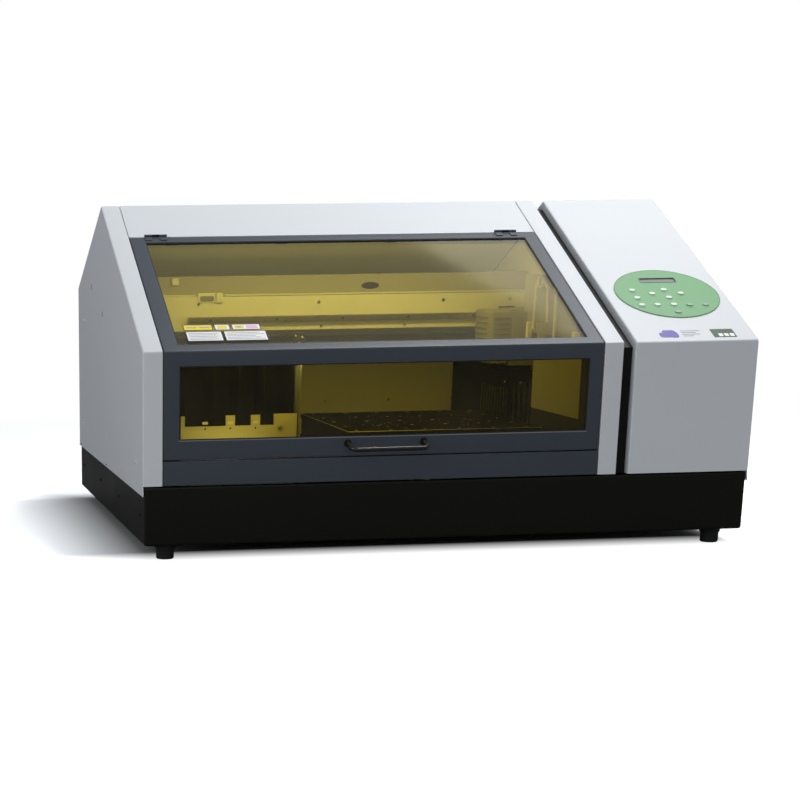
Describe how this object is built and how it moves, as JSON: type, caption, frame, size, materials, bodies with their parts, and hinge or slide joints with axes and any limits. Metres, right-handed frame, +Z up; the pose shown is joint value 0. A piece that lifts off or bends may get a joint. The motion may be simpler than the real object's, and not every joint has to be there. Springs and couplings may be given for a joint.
{
  "type": "flatbed uv printer",
  "caption": "Desktop flatbed UV printer with an amber-windowed lift-up cover, a sliding print carriage, a table that feeds and lifts, and a sloped control cabinet.",
  "frame": {"origin": "centre of the footprint (front handle and rear exhaust collar included), on the floor under the feet", "axes": "+Z up, +X to the right of someone standing at the front, +Y to the back"},
  "size_m": [0.998, 0.8668, 0.5457],
  "materials": {
    "light_paint": "satin fine-texture powder coat",
    "dark_paint": "satin dark blue-grey paint",
    "black_paint": "satin black paint",
    "inner_paint": "satin light paint",
    "amber_acrylic": "polished amber light-filtering acrylic",
    "black_plastic": "fine-grained black moulding",
    "grey_plastic": "fine-grained grey moulding",
    "rubber": "matt moulded rubber",
    "steel": "ground steel",
    "black_anodised": "black anodised",
    "aluminium": "machined",
    "green_film": "printed membrane film",
    "white_key": "smooth moulding",
    "grey_key": "smooth moulding",
    "display_glass": "clear window over a dark display",
    "board_green": "solder mask"
  },
  "bodies": {
    "frame": {"base_tray": "black_paint", "foot_front_left": "rubber", "foot_front_right": "rubber", "foot_rear_left": "rubber", "foot_rear_right": "rubber", "left_side_cover": "light_paint", "right_pillar": "light_paint", "cabinet_cover": "light_paint", "gap_plate": "black_paint", "top_cover": "light_paint", "rear_cover": "light_paint", "front_fascia": "dark_paint", "chamber_liner": "inner_paint", "left_partition": "inner_paint", "slot_plate": "inner_paint", "ink_bay": "black_plastic", "carriage_beam": "inner_paint", "carriage_rail": "steel", "drive_belt": "rubber", "carriage_motor": "black_plastic", "feed_rail_left": "steel", "feed_rail_right": "steel", "feed_motor": "black_plastic", "control_plate": "green_film", "display_window": "display_glass", "hinge_left": "black_paint", "hinge_right": "black_paint", "capping_station": "black_plastic", "power_inlet": "black_plastic", "circuit_board": "board_green", "exhaust_collar": "black_plastic"},
    "cover": {"cover_frame": "dark_paint", "slope_window": "amber_acrylic", "front_window": "amber_acrylic", "cover_handle": "black_paint"},
    "carriage": {"carriage_body": "inner_paint", "print_head": "grey_plastic", "uv_lamp": "aluminium"},
    "motor_pulley": {"motor_pulley": "aluminium"},
    "idler_pulley": {"idler_pulley": "aluminium"},
    "table_feed": {"feed_saddle": "black_anodised", "lift_motor": "black_plastic"},
    "table_lift": {"lift_frame": "black_anodised", "lift_screw": "steel", "print_table": "black_anodised"},
    "lift_nut": {"lift_nut": "steel"},
    "feed_screw": {"feed_screw": "steel"},
    "power_rocker": {"power_rocker": "black_plastic"},
    "key_menu": {"key_menu": "white_key"},
    "key_function": {"key_function": "white_key"},
    "key_cleaning": {"key_cleaning": "white_key"},
    "key_left": {"key_left": "white_key"},
    "key_up": {"key_up": "white_key"},
    "key_right": {"key_right": "white_key"},
    "key_down": {"key_down": "white_key"},
    "key_base": {"key_base": "white_key"},
    "key_setup": {"key_setup": "white_key"},
    "key_enter": {"key_enter": "grey_key"},
    "key_power": {"key_power": "grey_key"},
    "key_pause": {"key_pause": "grey_key"}
  },
  "joints": [
    {"name": "cover_hinge", "type": "hinge", "parent": "frame", "child": "cover", "pos_m": [0, -0.0425, 0.49588], "axis": [-1, 0, 0], "range_deg": [0, 75]},
    {"name": "carriage_slide", "type": "slide", "parent": "frame", "child": "carriage", "axis": [-1, 0, 0], "range_m": [0, 0.41]},
    {"name": "motor_pulley_spin", "type": "hinge", "parent": "frame", "child": "motor_pulley", "pos_m": [0.255, 0.14, 0.311], "axis": [0, 0, 1], "range_deg": [-2137, 1]},
    {"name": "idler_pulley_spin", "type": "hinge", "parent": "frame", "child": "idler_pulley", "pos_m": [-0.42, 0.14, 0.311], "axis": [0, 0, 1], "range_deg": [-2137, 1]},
    {"name": "table_feed_slide", "type": "slide", "parent": "frame", "child": "table_feed", "axis": [0, 1, 0], "range_m": [0, 0.33]},
    {"name": "feed_screw_spin", "type": "hinge", "parent": "frame", "child": "feed_screw", "pos_m": [0.055, 0, 0.078], "axis": [0, 1, 0], "range_deg": [-5941, 1]},
    {"name": "table_lift_slide", "type": "slide", "parent": "table_feed", "child": "table_lift", "axis": [0, 0, 1], "range_m": [-0.022, 0.072]},
    {"name": "lift_nut_spin", "type": "hinge", "parent": "table_feed", "child": "lift_nut", "pos_m": [-0.01, -0.17, 0.1], "axis": [0, 0, 1], "range_deg": [-3241, 991]},
    {"name": "power_rocker_tilt", "type": "hinge", "parent": "frame", "child": "power_rocker", "pos_m": [0.4075, 0.3975, 0.1725], "axis": [-1, 0, 0], "range_deg": [0, 14]},
    {"name": "key_menu_press", "type": "slide", "parent": "frame", "child": "key_menu", "axis": [0, 0.4239, -0.9057], "range_m": [0, 0.001], "stiffness_N_per_m": 150, "springref_m": -0.003},
    {"name": "key_function_press", "type": "slide", "parent": "frame", "child": "key_function", "axis": [0, 0.4239, -0.9057], "range_m": [0, 0.001], "stiffness_N_per_m": 150, "springref_m": -0.003},
    {"name": "key_cleaning_press", "type": "slide", "parent": "frame", "child": "key_cleaning", "axis": [0, 0.4239, -0.9057], "range_m": [0, 0.001], "stiffness_N_per_m": 150, "springref_m": -0.003},
    {"name": "key_left_press", "type": "slide", "parent": "frame", "child": "key_left", "axis": [0, 0.4239, -0.9057], "range_m": [0, 0.001], "stiffness_N_per_m": 150, "springref_m": -0.003},
    {"name": "key_up_press", "type": "slide", "parent": "frame", "child": "key_up", "axis": [0, 0.4239, -0.9057], "range_m": [0, 0.001], "stiffness_N_per_m": 150, "springref_m": -0.003},
    {"name": "key_right_press", "type": "slide", "parent": "frame", "child": "key_right", "axis": [0, 0.4239, -0.9057], "range_m": [0, 0.001], "stiffness_N_per_m": 150, "springref_m": -0.003},
    {"name": "key_down_press", "type": "slide", "parent": "frame", "child": "key_down", "axis": [0, 0.4239, -0.9057], "range_m": [0, 0.001], "stiffness_N_per_m": 150, "springref_m": -0.003},
    {"name": "key_base_press", "type": "slide", "parent": "frame", "child": "key_base", "axis": [0, 0.4239, -0.9057], "range_m": [0, 0.001], "stiffness_N_per_m": 150, "springref_m": -0.003},
    {"name": "key_setup_press", "type": "slide", "parent": "frame", "child": "key_setup", "axis": [0, 0.4239, -0.9057], "range_m": [0, 0.001], "stiffness_N_per_m": 150, "springref_m": -0.003},
    {"name": "key_enter_press", "type": "slide", "parent": "frame", "child": "key_enter", "axis": [0, 0.4239, -0.9057], "range_m": [0, 0.001], "stiffness_N_per_m": 150, "springref_m": -0.003},
    {"name": "key_power_press", "type": "slide", "parent": "frame", "child": "key_power", "axis": [0, 0.4239, -0.9057], "range_m": [0, 0.001], "stiffness_N_per_m": 150, "springref_m": -0.003},
    {"name": "key_pause_press", "type": "slide", "parent": "frame", "child": "key_pause", "axis": [0, 0.4239, -0.9057], "range_m": [0, 0.001], "stiffness_N_per_m": 150, "springref_m": -0.003}
  ],
  "couplings": [
    {"joint": "motor_pulley_spin", "follows": "carriage_slide", "rad_per_m": -90.909},
    {"joint": "idler_pulley_spin", "follows": "carriage_slide", "rad_per_m": -90.909},
    {"joint": "feed_screw_spin", "follows": "table_feed_slide", "rad_per_m": -314.16},
    {"joint": "lift_nut_spin", "follows": "table_lift_slide", "rad_per_m": -785.4}
  ]
}
